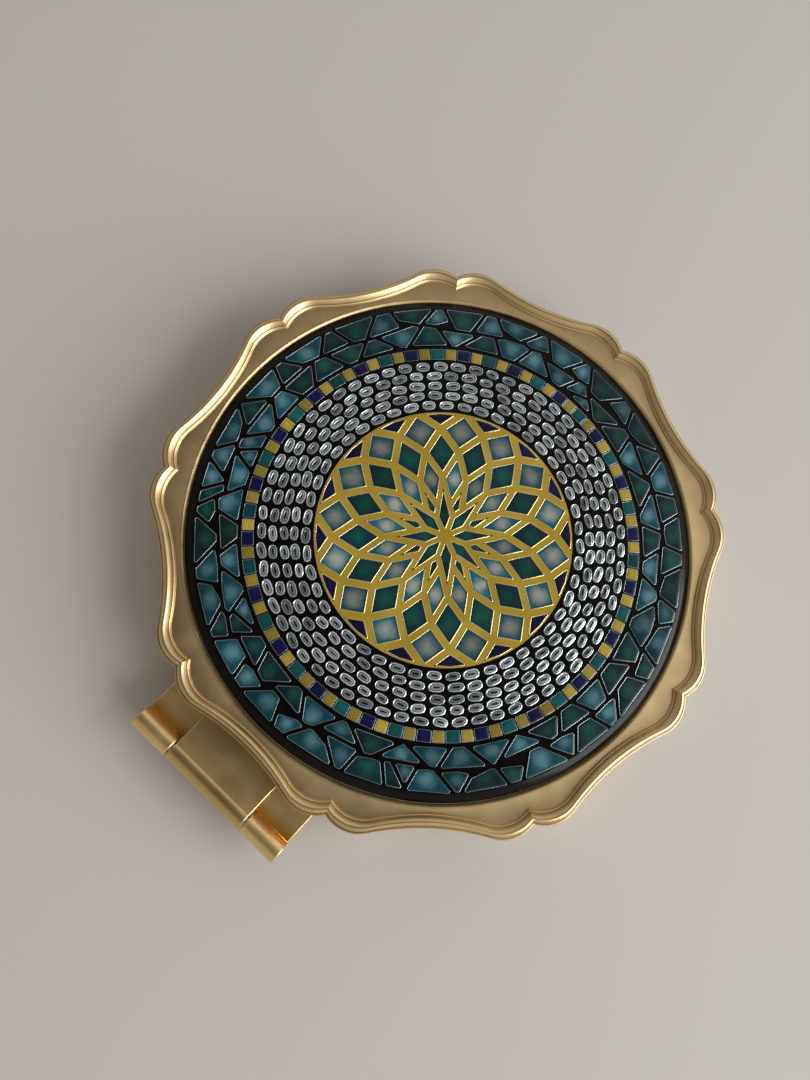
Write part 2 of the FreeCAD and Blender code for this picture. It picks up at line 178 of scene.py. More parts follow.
def mixed(tree, factor, first, second):
    node = add(tree, "ShaderNodeMix", {"Factor": factor, "A": first, "B": second}, data_type="RGBA")
    return port(node.outputs, "Result")


# %% [markdown]
# ## Floor, world and lamp
# The compact lies on a pale table, and a window to the right lights it. A window is a large soft
# source, so one area lamp stands for it, low enough to give the long soft shadow on the left.
# Metal only looks like metal when it has something to mirror: the world is a plain soft studio that
# gets lighter towards the window side and darker overhead, so that the flat faces stay deep in colour
# and the mouldings catch the light. The levels are set so that a colour renders about as it is written.

# %% Floor
floor_side = 3.0
floor_colour = (0.60, 0.575, 0.55, 1)
floor_roughness = 0.8
unit_square = ((-1, -1), (1, -1), (1, 1), (-1, 1))


def new_material(name):
    """New material, its tree and its shader."""
    material = bpy.data.materials.new(name)
    material.use_nodes = True
    tree = material.node_tree
    return material, tree, tree.nodes["Principled BSDF"]


floor_corners = [(x * floor_side / 2, y * floor_side / 2, 0) for x, y in unit_square]
floor_mesh = bpy.data.meshes.new("floor")
floor_mesh.from_pydata(floor_corners, [], [range(len(floor_corners))])
pale_table, table_tree, table_shader = new_material("pale_table")
fill(table_tree, table_shader, {"Base Color": floor_colour, "Roughness": floor_roughness})
floor_mesh.materials.append(pale_table)
floor = new_object("floor", floor_mesh)
print("floor side in m:", floor_side)

# %% World
side_dim = (0.31, 0.26, 0.21, 1)
side_bright = (0.84, 0.82, 0.79, 1)
overhead = (0.10, 0.092, 0.08, 1)
overhead_lean, overhead_start, overhead_full = 0.09, 0.6, 0.98
image_right = from_camera @ Vector((1, 0, 0))
image_up = from_camera @ Vector((0, 1, 0))
overhead_way = (Vector((0, 0, 1)) - image_right * overhead_lean).normalized()

world = bpy.data.worlds.new("soft_studio")
bpy.context.scene.world = world
world.use_nodes = True
sky = world.node_tree
direction = add(sky, "ShaderNodeTexCoord").outputs["Generated"]
window_turn = measure(sky, "DOT_PRODUCT", direction, tuple(image_right))
window_share = add(sky, "ShaderNodeMapRange", {"Value": window_turn, "From Min": -1.0}).outputs["Result"]
overhead_turn = measure(sky, "DOT_PRODUCT", direction, tuple(overhead_way))
overhead_share = soft_step(sky, overhead_turn, overhead_start, overhead_full)
sides = mixed(sky, window_share, side_dim, side_bright)
feed(sky, sky.nodes["Background"].inputs["Color"], mixed(sky, overhead_share, sides, overhead))
print("world:", len(sky.nodes), "nodes")

# %% Window lamp
window_right, window_up, window_height = 0.56, -0.27, 0.33
window_width, window_depth, window_watts = 0.68, 0.5, 5.0

lamp_data = bpy.data.lights.new("window", "AREA")
lamp_data.shape = "RECTANGLE"
lamp_data.size = window_width
lamp_data.size_y = window_depth
lamp_data.energy = window_watts
lamp = new_object("window", lamp_data)
lamp.location = image_right.to_2d().to_3d() * window_right + image_up.to_2d().to_3d() * window_up
lamp.location.z = window_height
lamp.rotation_mode = "QUATERNION"
lamp.rotation_quaternion = (-lamp.location).to_track_quat("-Z", "Y")
bpy.context.scene.view_settings.view_transform = "Standard"
print("lamp in m:", [round(side, 2) for side in lamp.location])

# %% [markdown]
# ## Shared surface effects
# Blasted gold, mirrors and lacquer all differ, but the same two things happen to them: a fine grain
# from their making, and soft marks from being handled. Glass tiles and beads share a third, a colour
# that changes from the edge to the middle; on the beads that change is painted highlight and painted
# shade. All could be drawn again in each material. As shader node groups they are built once, and each
# material gives them its own values.

# %% Groups for grain, handling marks and glass
grain_detail, grain_roughness = 3.0, 0.6
marks_detail, marks_distortion, marks_start, marks_full = 4.0, 0.6, 0.35, 0.7
cloud_scale, cloud_detail, cloud_drift = 700.0, 3.0, 0.4
pool_start, pool_full = 0.05, 0.95
darkest_tone, lightest_tone = 0.55, 1.25


def add_sockets(tree, way, rows):
    for label, kind in rows:
        tree.interface.new_socket(label, in_out=way, socket_type="NodeSocket" + kind)


def shader_group(name, inputs, outputs):
    """New group, with the sockets that come in and the sockets that go out."""
    group = bpy.data.node_groups.new(name, "ShaderNodeTree")
    add_sockets(group, "INPUT", [("Vector", "Vector"), *inputs])
    add_sockets(group, "OUTPUT", outputs)
    start = terms(group, group.nodes.new("NodeGroupInput").outputs)
    return group, start, group.nodes.new("NodeGroupOutput").inputs


def noise(tree, place, scale, **more):
    """Noise from 0 to 1."""
    inputs = {"Vector": place, "Scale": scale}
    for name, value in more.items():
        inputs[name.title()] = value
    return add(tree, "ShaderNodeTexNoise", inputs).outputs[0]


def make_fine_grain():
    """Tiny pits and grains, as a height from 0 to 1."""
    group, start, end = shader_group("fine_grain", [("Scale", "Float")], [("Height", "Float")])
    grain = noise(group, start["Vector"], start["Scale"], detail=grain_detail, roughness=grain_roughness)
    feed(group, end["Height"], grain)
    return group


def make_handling_marks():
    """Soft cloudy smears, as one mask from 0 to 1."""
    group, start, end = shader_group("handling_marks", [("Scale", "Float")], [("Mask", "Float")])
    cloud = noise(group, start["Vector"], start["Scale"], detail=marks_detail, distortion=marks_distortion)
    feed(group, end["Mask"], soft_step(group, cloud, marks_start, marks_full))
    return group


def make_glass_pool():
    """Colour of a glass tile: from its edge to its middle, a little cloudy, lighter or darker by tile."""
    group, start, end = shader_group(
        "glass_pool", [("Depth", "Float"), ("Tone", "Float"), ("Edge", "Color"), ("Middle", "Color")],
        [("Color", "Color"), ("Cloud", "Float")],
    )
    cloud = noise(group, start["Vector"], cloud_scale, detail=cloud_detail)
    depth = start["Depth"] + ranged(group, cloud, -cloud_drift, cloud_drift)
    pool = soft_step(group, depth, pool_start, pool_full)
    toned = add(group, "ShaderNodeVectorMath", operation="SCALE")
    feed(group, toned.inputs[0], mixed(group, pool, start["Edge"], start["Middle"]))
    feed(group, port(toned.inputs, "Scale"), ranged(group, start["Tone"], darkest_tone, lightest_tone))
    feed(group, end["Color"], toned.outputs["Vector"])
    feed(group, end["Cloud"], cloud)
    return group


fine_grain = make_fine_grain()
handling_marks = make_handling_marks()
glass_pool = make_glass_pool()
print("shader groups:", [group.name for group in bpy.data.node_groups])

# %% [markdown]
# ## Metals
# The case is gold-coloured and satin: fine blasting breaks up what it mirrors, and the raised rim is
# rubbed smoother than the flat pan. A brushed pattern would show stripes that the real one doesn't
# have, so the grain is even. The base's hinge leaf is a lighter gold with almost no grain. Each shape
# below may carry an attribute named polish, which is 1 where it is rubbed.

# %% Metals
metal_marks_scale = 160.0
marks_dulling, grain_dulling = 0.06, 0.1


def own_place(tree):
    return add(tree, "ShaderNodeTexCoord").outputs["Object"]


def use_group(tree, group, **inputs):
    titled = {name.title(): value for name, value in inputs.items()}
    return terms(tree, add(tree, "ShaderNodeGroup", titled, node_tree=group).outputs)


def attribute(tree, name, output="Fac"):
    return add(tree, "ShaderNodeAttribute", attribute_name=name).outputs[output]


def bumped(tree, height, depth):
    """Normals of a surface whose height from 0 to 1 is this deep."""
    inputs = {"Height": height, "Strength": 1.0, "Distance": depth}
    return add(tree, "ShaderNodeBump", inputs).outputs["Normal"]


def metal(name, dark, light, satin, rubbed, grain, depth, metallic=1.0):
    """Metal with an even grain, handling marks, and another roughness where it is rubbed."""
    material, tree, shader = new_material(name)
    place = own_place(tree)
    marks = use_group(tree, handling_marks, vector=place, scale=metal_marks_scale)["Mask"]
    height = use_group(tree, fine_grain, vector=place, scale=grain)["Height"]
    finish = ranged(tree, attribute(tree, "polish"), satin, rubbed)
    fill(tree, shader, {
        "Metallic": metallic,
        "Base Color": mixed(tree, marks, (*dark, 1), (*light, 1)),
        "Roughness": finish + marks * marks_dulling + height * grain_dulling,
        "Normal": bumped(tree, height, depth),
    })
    return material


satin_gold = metal("satin_gold", (0.66, 0.49, 0.26), (0.72, 0.54, 0.29),
                   satin=0.38, rubbed=0.27, grain=9000.0, depth=1.2 * micron)
polished_gold = metal("polished_gold", (0.88, 0.63, 0.29), (0.94, 0.70, 0.34),
                      satin=0.3, rubbed=0.3, grain=9000.0, depth=0.2 * micron)
hinge_satin = metal("hinge_satin", (0.70, 0.50, 0.23), (0.76, 0.55, 0.26),
                    satin=0.24, rubbed=0.2, grain=9000.0, depth=0.8 * micron)
lattice_gold = metal("lattice_gold", (0.54, 0.375, 0.036), (0.63, 0.440, 0.048),
                     satin=0.3, rubbed=0.2, grain=7000.0, depth=1.5 * micron, metallic=0.45)
bright_gold = metal("bright_gold", (0.90, 0.74, 0.34), (0.98, 0.88, 0.56),
                    satin=0.12, rubbed=0.12, grain=1200.0, depth=25 * micron)
silver_line = metal("silver_line", (0.17, 0.26, 0.29), (0.46, 0.53, 0.55),
                    satin=0.1, rubbed=0.1, grain=1200.0, depth=30 * micron)
pin_steel = metal("pin_steel", (0.52, 0.50, 0.47), (0.62, 0.60, 0.57),
                  satin=0.25, rubbed=0.2, grain=6000.0, depth=2 * micron)
magnet_nickel = metal("magnet_nickel", (0.60, 0.58, 0.54), (0.70, 0.68, 0.64),
                      satin=0.2, rubbed=0.15, grain=6000.0, depth=2 * micron)
mirror_glass = metal("mirror_glass", (0.90, 0.92, 0.92), (0.93, 0.95, 0.95),
                     satin=0.0, rubbed=0.0, grain=800.0, depth=0.02 * micron)
print("materials so far:", [material.name for material in bpy.data.materials])

# %% [markdown]
# ### Painted shade in the corners of the lighter leaf
# The corner beside a knuckle is a crease where shade falls, and the polished leaf mirrors something dark
# there, so a painted shade and reflection turn the leaf brown. A painted attribute would need many points
# on a leaf that is only a few large faces. The corner runs straight along the pin, so a mask across the
# leaf, read from the object's own coordinates, is enough.

# %% Painted corner shade
knuckle_radius = 1.55 * mm
corner_start, corner_fade = 0.15 * mm, 2.4 * mm
# Brown of the painted shade and painted reflection in the crease beside the knuckle.
corner_shade_brown = (0.72, 0.36, 0.05, 1)


def paint_corner_shade(material):
    tree = material.node_tree
    colour = tree.nodes["Principled BSDF"].inputs["Base Color"]
    pin_low, pin_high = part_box("hinge_pin")
    corner_y = (pin_low.y + pin_high.y) / 2 + knuckle_radius
    across = add(tree, "ShaderNodeSeparateXYZ", {"Vector": own_place(tree)}).outputs["Y"]
    before = soft_step(tree, across, corner_y - corner_start, corner_y)
    after = soft_step(tree, across, corner_y + corner_fade, corner_y)
    # Painted shade and reflection: the leaf is mixed towards brown in the crease along the pin.
    feed(tree, colour, mixed(tree, before * after, colour.links[0].from_socket, corner_shade_brown))
    print(material.name, "turns brown", round(corner_y / mm, 2), "mm along Y")


paint_corner_shade(polished_gold)

# %% [markdown]
# ## Lacquer, glass and glue
# The medallion is a black lacquered disc. Its glass tiles are pools of colour, pale in the middle and
# deeper at the rim, with a clear glossy skin. Real glass could be made see-through, but these tiles are
# backed, so an opaque colour with a coat looks the same and renders faster. Each tile carries four
# attributes: depth, from its edge to its middle; tone, a random number of its own; and middle and
# reach, which say where its middle is and how far the round glow there goes.

# %% Lacquer and glue
lacquer_dark, lacquer_light = (0.002, 0.0017, 0.0016, 1), (0.004, 0.0035, 0.0033, 1)
glue_dark, glue_light = (0.32, 0.31, 0.29, 1), (0.48, 0.47, 0.44, 1)
lacquer_marks_scale, lacquer_grain_scale, glue_grain_scale = 240.0, 900.0, 2500.0
lacquer_gloss, glue_gloss = (0.16, 0.24), (0.6, 0.9)
lacquer_specular, lacquer_depth = 0.17, 4 * micron


def black_lacquer():
    material, tree, shader = new_material("black_lacquer")
    place = own_place(tree)
    marks = use_group(tree, handling_marks, vector=place, scale=lacquer_marks_scale)["Mask"]
    height = use_group(tree, fine_grain, vector=place, scale=lacquer_grain_scale)["Height"]
    fill(tree, shader, {
        "Base Color": mixed(tree, marks, lacquer_dark, lacquer_light),
        "Roughness": ranged(tree, marks, *lacquer_gloss),
        "Specular IOR Level": lacquer_specular,
        "Normal": bumped(tree, height, lacquer_depth),
    })
    return material


def soft_glue():
    material, tree, shader = new_material("soft_glue")
    height = use_group(tree, fine_grain, vector=own_place(tree), scale=glue_grain_scale)["Height"]
    fill(tree, shader, {
        "Base Color": mixed(tree, height, glue_dark, glue_light),
        "Roughness": ranged(tree, height, *glue_gloss),
    })
    return material


lacquer = black_lacquer()
glue = soft_glue()
print("made", lacquer.name, "and", glue.name)

# %% Tile glass
glass_gloss, glass_specular, glass_depth = (0.2, 0.36), 0.35, 12 * micron
glass_coat, glass_coat_roughness = 0.2, 0.08
glow_top, glow_fall = 1.0, 0.82


def tile_glass(name, edge, middle):
    """Glass that follows a tile's outline near its edge, and is a round glow in its middle."""
    material, tree, shader = new_material(name)
    place = own_place(tree)
    from_middle = measure(tree, "DISTANCE", place, attribute(tree, "middle", "Vector"))
    glow = from_middle / attribute(tree, "reach") * -glow_fall + glow_top
    pool = use_group(
        tree, glass_pool, vector=place, depth=calc(tree, "MINIMUM", attribute(tree, "depth"), glow),
        tone=attribute(tree, "tone"), edge=(*edge, 1), middle=(*middle, 1),
    )
    fill(tree, shader, {
        "Base Color": pool["Color"],
        "Roughness": ranged(tree, pool["Cloud"], *glass_gloss),
        "Specular IOR Level": glass_specular,
        "Coat Weight": glass_coat,
        "Coat Roughness": glass_coat_roughness,
        "Normal": bumped(tree, pool["Cloud"], glass_depth),
    })
    return material


pale_shard = tile_glass("pale_shard", (0.003, 0.050, 0.072), (0.085, 0.205, 0.255))
green_shard = tile_glass("green_shard", (0.002, 0.018, 0.026), (0.007, 0.064, 0.048))
pale_rhomb = tile_glass("pale_rhomb", (0.008, 0.115, 0.175), (0.330, 0.335, 0.285))
green_rhomb = tile_glass("green_rhomb", (0.003, 0.030, 0.044), (0.004, 0.070, 0.052))
gold_square = tile_glass("gold_square", (0.360, 0.260, 0.030), (0.420, 0.300, 0.040))
teal_square = tile_glass("teal_square", (0.003, 0.070, 0.075), (0.004, 0.100, 0.098))
navy_square = tile_glass("navy_square", (0.003, 0.003, 0.045), (0.004, 0.005, 0.062))
print("materials now:", len(bpy.data.materials))

# %% [markdown]
# ## Shapes from a rule
# Geometry Nodes make every shape here that follows a rule or repeats. A tree could stay on the object
# as a live modifier, but the finished part has to be plain meshes, so each result is read out once and
# the modifier goes. A modifier's inputs are set by their hidden identifiers, not by their names.

# %% Helpers for geometry trees
merge_distance = 0.2 * micron
smooth_angle = 35


def made(tree, kind, inputs=None, **settings):
    """Adds a node and gives back its first output, which is the shape or the field that it makes."""
    return Term(tree, add(tree, kind, inputs, **settings).outputs[0])


def own_parts(tree, place=None):
    """X, Y and Z of a place, or of the point itself."""
    vector = place or made(tree, "GeometryNodeInputPosition")
    return terms(tree, add(tree, "ShaderNodeSeparateXYZ", {"Vector": vector}).outputs)


def shape_tree(name, inputs):
    """Tree with a mesh, named inputs and a material going in, and a mesh coming out."""
    tree = bpy.data.node_groups.new(name, "GeometryNodeTree")
    add_sockets(tree, "INPUT", [("Mesh", "Geometry"), *inputs, ("Material", "Material")])
    add_sockets(tree, "OUTPUT", [("Mesh", "Geometry")])
    return tree, terms(tree, tree.nodes.new("NodeGroupInput").outputs)


def close_tree(tree, start, shape):
    """Ends a tree: plain meshes instead of instances, smooth shading, and the material."""
    plain = made(tree, "GeometryNodeRealizeInstances", {"Geometry": shape})
    smooth = made(tree, "GeometryNodeSetShadeSmooth", {"Geometry": plain})
    finished = made(tree, "GeometryNodeSetMaterial", {"Geometry": smooth, "Material": start["Material"]})
    feed(tree, tree.nodes.new("NodeGroupOutput").inputs["Mesh"], finished)
    return tree


def merged(tree, shape, distance):
    return made(tree, "GeometryNodeMergeByDistance", {"Geometry": shape, "Distance": distance})


def stored(tree, shape, name, value, data_type="FLOAT", domain="POINT", selection=True):
    """Writes a named attribute on a shape."""
    inputs = {"Geometry": shape, "Selection": selection, "Name": name, "Value": value}
    return made(tree, "GeometryNodeStoreNamedAttribute", inputs, data_type=data_type, domain=domain)


def read_out(piece):
    """Keeps what a piece's modifiers make as its own plain mesh."""
    graph = bpy.context.evaluated_depsgraph_get()
    whole = piece.evaluated_get(graph)
    mesh = bpy.data.meshes.new_from_object(whole, preserve_all_data_layers=True, depsgraph=graph)
    piece.modifiers.clear()
    piece.data = mesh
    mesh.name = piece.name
    print(piece.name, len(mesh.vertices), "points", len(mesh.polygons), "faces")
    return mesh


def grow(name, mesh, tree, sizes, sharp_angle=smooth_angle):
    """Runs a tree on a mesh and leaves the result as a plain mesh object."""
    piece = new_object(name, mesh)
    modifier = piece.modifiers.new("shape", "NODES")
    modifier.node_group = tree
    for socket in tree.interface.items_tree:
        if socket.in_out == "INPUT" and socket.name in sizes:
            modifier[socket.identifier] = sizes[socket.name]
    read_out(piece).set_sharp_from_angle(angle=math.radians(sharp_angle))
    return piece


# %% [markdown]
# ## The scalloped halves
# Both halves follow one outline: nine lobes, each with two round shoulders and a shallow hollow between
# them, which meet in a sharp notch. It could be drawn as a curve and extruded, but the rim is a moulding
# whose every line follows that outline at its own distance. So the tree lofts: it takes a profile,
# one point for each step across the rim, and turns each point into a ring. A ring is either a circle,
# or the scalloped outline moved inwards. The radius at an angle comes from where a ray from the centre
# meets the shoulder's circle or the hollow's circle.

# %% Radius of the scalloped outline
def scalloped_radius(tree, start, half_lobe, inset, swing):
    """Distance to the outline, for an angle from the middle of a lobe, moved in by inset."""
    shoulder = start["Shoulder"]
    hollow = start["Hollow"]
    centre = start["Shoulder Centre"] - inset
    side = half_lobe - calc(tree, "ARCSINE", start["Notch Offset"] / centre)
    centre_x = centre * calc(tree, "COSINE", side)
    centre_y = centre * calc(tree, "SINE", side)

    def ray_to_circle(distance, turn, radius, sign):
        across = distance * calc(tree, "SINE", turn)
        inside = calc(tree, "MAXIMUM", radius * radius - across * across, 0.0)
        return calc(tree, "SQRT", inside) * sign + distance * calc(tree, "COSINE", turn)

    reach = shoulder - hollow
    squares = centre_y * centre_y + reach * reach - shoulder * shoulder
    hollow_round = squares / (hollow * 2.0)
    hollow_x = centre_x + reach + hollow_round
    share = shoulder / (shoulder + hollow_round)
    meet_x = (hollow_x - centre_x) * share + centre_x
    meet_y = centre_y - centre_y * share
    on_shoulder = ray_to_circle(centre, swing - side, shoulder, 1.0)
    on_hollow = ray_to_circle(hollow_x, swing, hollow_round, -1.0)
    in_hollow = calc(tree, "LESS_THAN", swing, calc(tree, "ARCTAN2", meet_y, meet_x))
    return (on_hollow - on_shoulder) * in_hollow + on_shoulder


# %% Loft tree
seam_distance = 0.5 * micron


def make_loft_tree():
    tree, start = shape_tree("scalloped_loft", [
        ("Lobes", "Int"), ("Lobe Steps", "Int"), ("Shoulder Centre", "Float"), ("Shoulder", "Float"),
        ("Notch Offset", "Float"), ("Hollow", "Float"),
    ])
    rings = made(tree, "GeometryNodeAttributeDomainSize", {"Geometry": start["Mesh"]})
    steps = start["Lobes"] * start["Lobe Steps"]
    grid = made(tree, "GeometryNodeMeshGrid", {"Vertices X": steps + 1.0, "Vertices Y": rings})
    index = made(tree, "GeometryNodeInputIndex")
    step = calc(tree, "FLOOR", (index + 0.5) / rings)
    ring = index - step * rings

    def from_profile(data_type, value):
        node = add(tree, "GeometryNodeSampleIndex", {"Geometry": start["Mesh"]}, data_type=data_type)
        fill(tree, node, {"Value": value, "Index": ring})
        return port(node.outputs, "Value")

    point = own_parts(tree, from_profile("FLOAT_VECTOR", made(tree, "GeometryNodeInputPosition")))
    polish = add(tree, "GeometryNodeInputNamedAttribute", {"Name": "polish"}, data_type="FLOAT")
    rubbed = from_profile("FLOAT", port(polish.outputs, "Attribute"))

    lobe_turn = calc(tree, "DIVIDE", 2 * math.pi, start["Lobes"])
    half_lobe = lobe_turn * 0.5
    turn = lobe_turn * (step / start["Lobe Steps"])
    swing = calc(tree, "ABSOLUTE", calc(tree, "FLOORED_MODULO", turn, lobe_turn) - half_lobe)
    on_outline = scalloped_radius(tree, start, half_lobe, point["X"], swing)
    radius = (point["X"] - on_outline) * point["Y"] + on_outline
    angle = turn + calc(tree, "SUBTRACT", -math.pi / 2, half_lobe)
    place = made(tree, "ShaderNodeCombineXYZ", {
        "X": radius * calc(tree, "COSINE", angle), "Y": radius * calc(tree, "SINE", angle), "Z": point["Z"],
    })
    marked = stored(tree, grid, "polish", rubbed)
    moved = made(tree, "GeometryNodeSetPosition", {"Geometry": marked, "Position": place})
    return close_tree(tree, start, merged(tree, moved, seam_distance))


loft_tree = make_loft_tree()
print("loft tree:", len(loft_tree.nodes), "nodes")

# %% Outline and profile helpers
outline_sizes = {
    "Lobes": 9,
    "Lobe Steps": 64,
    "Shoulder Centre": 34.88 * mm,
    "Shoulder": 5.12 * mm,
    "Notch Offset": 2.9 * mm,
    "Hollow": 1.06 * mm,
}
scalloped, round_ring = 0.0, 1.0
slope_power = 1.5


def arch(inset, width, z, rise, steps):
    """Half an ellipse across the rim, from its outer foot to its inner foot."""
    points = []
    for step in range(steps + 1):
        angle = math.pi * step / steps
        points.append((inset + width / 2 * (1 - math.cos(angle)), z + rise * math.sin(angle)))
    return points


def quarter(start, end, steps, outwards_first):
    """Rounded corner between two points of a profile."""
    points = []
    for step in range(steps + 1):
        angle = math.pi / 2 * step / steps
        early, late = math.sin(angle), 1 - math.cos(angle)
        across, rise = (early, late) if outwards_first else (late, early)
        points.append((start[0] + (end[0] - start[0]) * across, start[1] + (end[1] - start[1]) * rise))
    return points


def slope(start, end, steps):
    """Falling side of a moulding, level at its top and steeper further down."""
    points = []
    for step in range(steps + 1):
        share = step / steps
        across = start[0] + (end[0] - start[0]) * share
        points.append((across, start[1] + (end[1] - start[1]) * share**slope_power))
    return points


def profile_mesh(name, runs):
    """Polyline of a profile. X is an inset or a radius, Y says which, and Z is the height."""
    points = []
    polish = []
    for kind, rubbed, run in runs:
        points += [(across * mm, kind, z * mm) for across, z in run]
        polish += [rubbed] * len(run)
    mesh = bpy.data.meshes.new(name + "_profile")
    mesh.from_pydata(points, [(index, index + 1) for index in range(len(points) - 1)], [])
    mesh.attributes.new("polish", "FLOAT", "POINT").data.foreach_set("value", polish)
    return mesh


def settle(piece, body, slot, *nodes):
    """Rides a piece on its body and hides the CAD nodes that it stands for."""
    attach(piece, body)
    if nodes:
        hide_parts(*nodes)


# %% [markdown]
# ### Pockets for the magnets
# Each half holds two small magnets in its rim, flush with the face where the halves meet. Two surfaces
# in one place would flicker, so each magnet lies in a round pocket a hair wider than itself. The pockets
# could be part of the loft, but a Boolean cut is simpler for round holes that don't follow the outline.

# %% Pocket cutter
magnet_radius, pocket_clearance = 1.5 * mm, 0.05 * mm
pocket_sides = 32


def as_mesh(shape, name):
    mesh = bpy.data.meshes.new(name)
    shape.to_mesh(mesh)
    shape.free()
    return mesh


def cut_pockets(shell, node):
    """Cuts a round pocket into a shell for each of the two magnets of a CAD node."""
    low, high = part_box(node)
    pocket_radius = magnet_radius + pocket_clearance
    shape = bmesh.new()
    for x in (low.x + magnet_radius, high.x - magnet_radius):
        bmesh.ops.create_cone(
            shape, cap_ends=True, segments=pocket_sides, radius1=pocket_radius, radius2=pocket_radius,
            depth=high.z - low.z + 2 * pocket_clearance,
            matrix=Matrix.Translation((x, (low.y + high.y) / 2, (low.z + high.z) / 2)),
        )
    cutter = new_object("pocket_cutter", as_mesh(shape, "pocket_cutter"))
    modifier = shell.modifiers.new("pockets", "BOOLEAN")
    modifier.operation = "DIFFERENCE"
    modifier.solver = "EXACT"
    modifier.object = cutter
    read_out(shell)
    bpy.data.objects.remove(cutter)


# %% [markdown]
# ### Lid and base
# A profile is a list of runs from the middle of one face, round the rim, to the middle of the other.
# The lid's rim rises over a small fillet to a crest, falls to a ledge, and has a low lip before the pan.
# The base is plain, with a round foot and a shallow groove underneath. Lengths here are in millimetres.

# %% Lid and base
fillet_width, fillet_rise, fillet_z = 0.3, 0.12, 8.56
crest_inset, crest_z = 0.98, 9.4
ledge_inset, ledge_z = 1.68, 8.73
lip_inset, lip_z = 1.76, 8.81
rim_width = 2.05
pan_z, seat_z = 8.5, 8.05
lid_bottom, lid_recess_z = 4.8, 7.05
base_top, base_recess_z = 4.6, 2.35
edge_round, mouth_round, foot_round = 0.25, 0.12, 1.0
seat_radius, seat_chamfer = 34.805, 0.3
recess_radius = 33.215
mouth_radius = recess_radius + mouth_round
groove_radius, groove_width, groove_depth = 31.0, 0.5, 0.25
pan_rub, foot_rub, recess_rub, groove_rub, edge_rub, rim_rub = 0.0, 0.2, 0.3, 0.5, 0.6, 1.0
mouth_steps, edge_steps, fillet_steps, slope_steps, foot_steps, crest_steps = 3, 4, 6, 8, 8, 12

lid_runs = [
    (round_ring, recess_rub, [(0, lid_recess_z), (recess_radius, lid_recess_z)]),
    (round_ring, edge_rub, quarter(
        (recess_radius, lid_bottom + mouth_round), (mouth_radius, lid_bottom), mouth_steps, False)),
    (scalloped, edge_rub, quarter(
        (edge_round, lid_bottom), (0, lid_bottom + edge_round), edge_steps, True)),
    (scalloped, rim_rub, arch(0, fillet_width, fillet_z, fillet_rise, fillet_steps)),
    (scalloped, rim_rub, quarter((fillet_width, fillet_z), (crest_inset, crest_z), crest_steps, False)[1:]),
    (scalloped, rim_rub, slope((crest_inset, crest_z), (ledge_inset, ledge_z), slope_steps)[1:]),
    (scalloped, rim_rub, slope((lip_inset, lip_z), (rim_width, pan_z), slope_steps)),
    (round_ring, pan_rub, [(seat_radius + 2 * seat_chamfer, pan_z)]),
    (round_ring, rim_rub, [(seat_radius + seat_chamfer, pan_z), (seat_radius, pan_z - seat_chamfer)]),
    (round_ring, recess_rub, [(seat_radius, seat_z), (0, seat_z)]),
]
base_runs = [
    (round_ring, foot_rub, [(0, 0), (groove_radius - groove_width, 0)]),
    (round_ring, groove_rub, [(groove_radius - groove_width, groove_depth), (groove_radius, groove_depth)]),
    (round_ring, foot_rub, [(groove_radius, 0)]),
    (scalloped, edge_rub, quarter((foot_round, 0), (0, foot_round), foot_steps, True)),
    (scalloped, edge_rub, quarter((0, base_top - edge_round), (edge_round, base_top), edge_steps, False)),
    (round_ring, edge_rub, quarter(
        (mouth_radius, base_top), (recess_radius, base_top - mouth_round), mouth_steps, True)),
    (round_ring, recess_rub, [(recess_radius, base_recess_z), (0, base_recess_z)]),
]
for body, runs in (("lid", lid_runs), ("base", base_runs)):
    name = body + "_shell"
    shell = grow(name, profile_mesh(name, runs), loft_tree, outline_sizes | {"Material": satin_gold})
    cut_pockets(shell, body + "_magnets")
    settle(shell, body, "satin_gold", body + "_frame")

# %% [markdown]
# ## Round plates: medallion and mirrors
# The medallion is a turned disc with a soft upper edge, and the two mirrors are ground discs: the lid's
# is flat, and the base's is hollow so that it magnifies. A plain cylinder would have dead sharp edges
# that never catch the light. The loft tree makes circles as well as scallops, so it turns these too.

# %% Medallion plate and mirrors
plate_sizes = outline_sizes | {"Lobe Steps": 32}
plate_bevel, plate_fall, glass_edge = 1.35, 0.65, 0.15
magnifier_sag, sag_rings = 0.5, 12
bevel_steps = 10


def turn_disc(name, body, slot, node, material, bevel, fall, sag=0.0, rings=1):
    """Disc in a CAD node's place. Its upper edge is bevelled, and a sag makes its top hollow."""
    low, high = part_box(node)
    radius, bottom, top = high.x / mm, low.z / mm, high.z / mm
    crown = []
    height = top
    for ring in range(1, rings):
        share_in = 1 - ring / rings
        height = top - sag * (1 - share_in**2)
        crown.append(((radius - bevel) * share_in, height))
    profile = profile_mesh(name, [
        (round_ring, pan_rub, [(0, bottom)]),
        (round_ring, rim_rub, quarter(
            (radius - glass_edge, bottom), (radius, bottom + glass_edge), edge_steps, True)),
        (round_ring, rim_rub, slope((radius - bevel, top), (radius, top - fall), bevel_steps)[::-1]),
        (round_ring, pan_rub, crown + [(0, height)]),
    ])
    settle(grow(name, profile, loft_tree, plate_sizes | {"Material": material}), body, slot, node)


turn_disc("medallion_disc", "lid", "black_gloss", "medallion_plate", lacquer, plate_bevel, plate_fall)
turn_disc("lid_looking_glass", "lid", "mirror_glass", "lid_mirror", mirror_glass, glass_edge, glass_edge)
turn_disc("base_looking_glass", "base", "mirror_glass", "base_mirror", mirror_glass, glass_edge, glass_edge,
          magnifier_sag, sag_rings)

# %% [markdown]
# ## Hinge and magnets
# The leaves are folded sheet with rolled knuckles, and their shape in the CAD model is right. What that
# mesh lacks is the small rounding that every real edge has. A copy of the mesh is merged, its flat
# faces are joined up again, and a narrow bevel rounds what is left. The lid's leaf, with the middle
# knuckle, is satin, and the base's leaf is the lighter gold.

# %% Hinge and magnets
flat_angle, bevel_angle, bevel_segments = 0.5, 40, 2
leaf_edge, magnet_edge = 0.12 * mm, 0.15 * mm


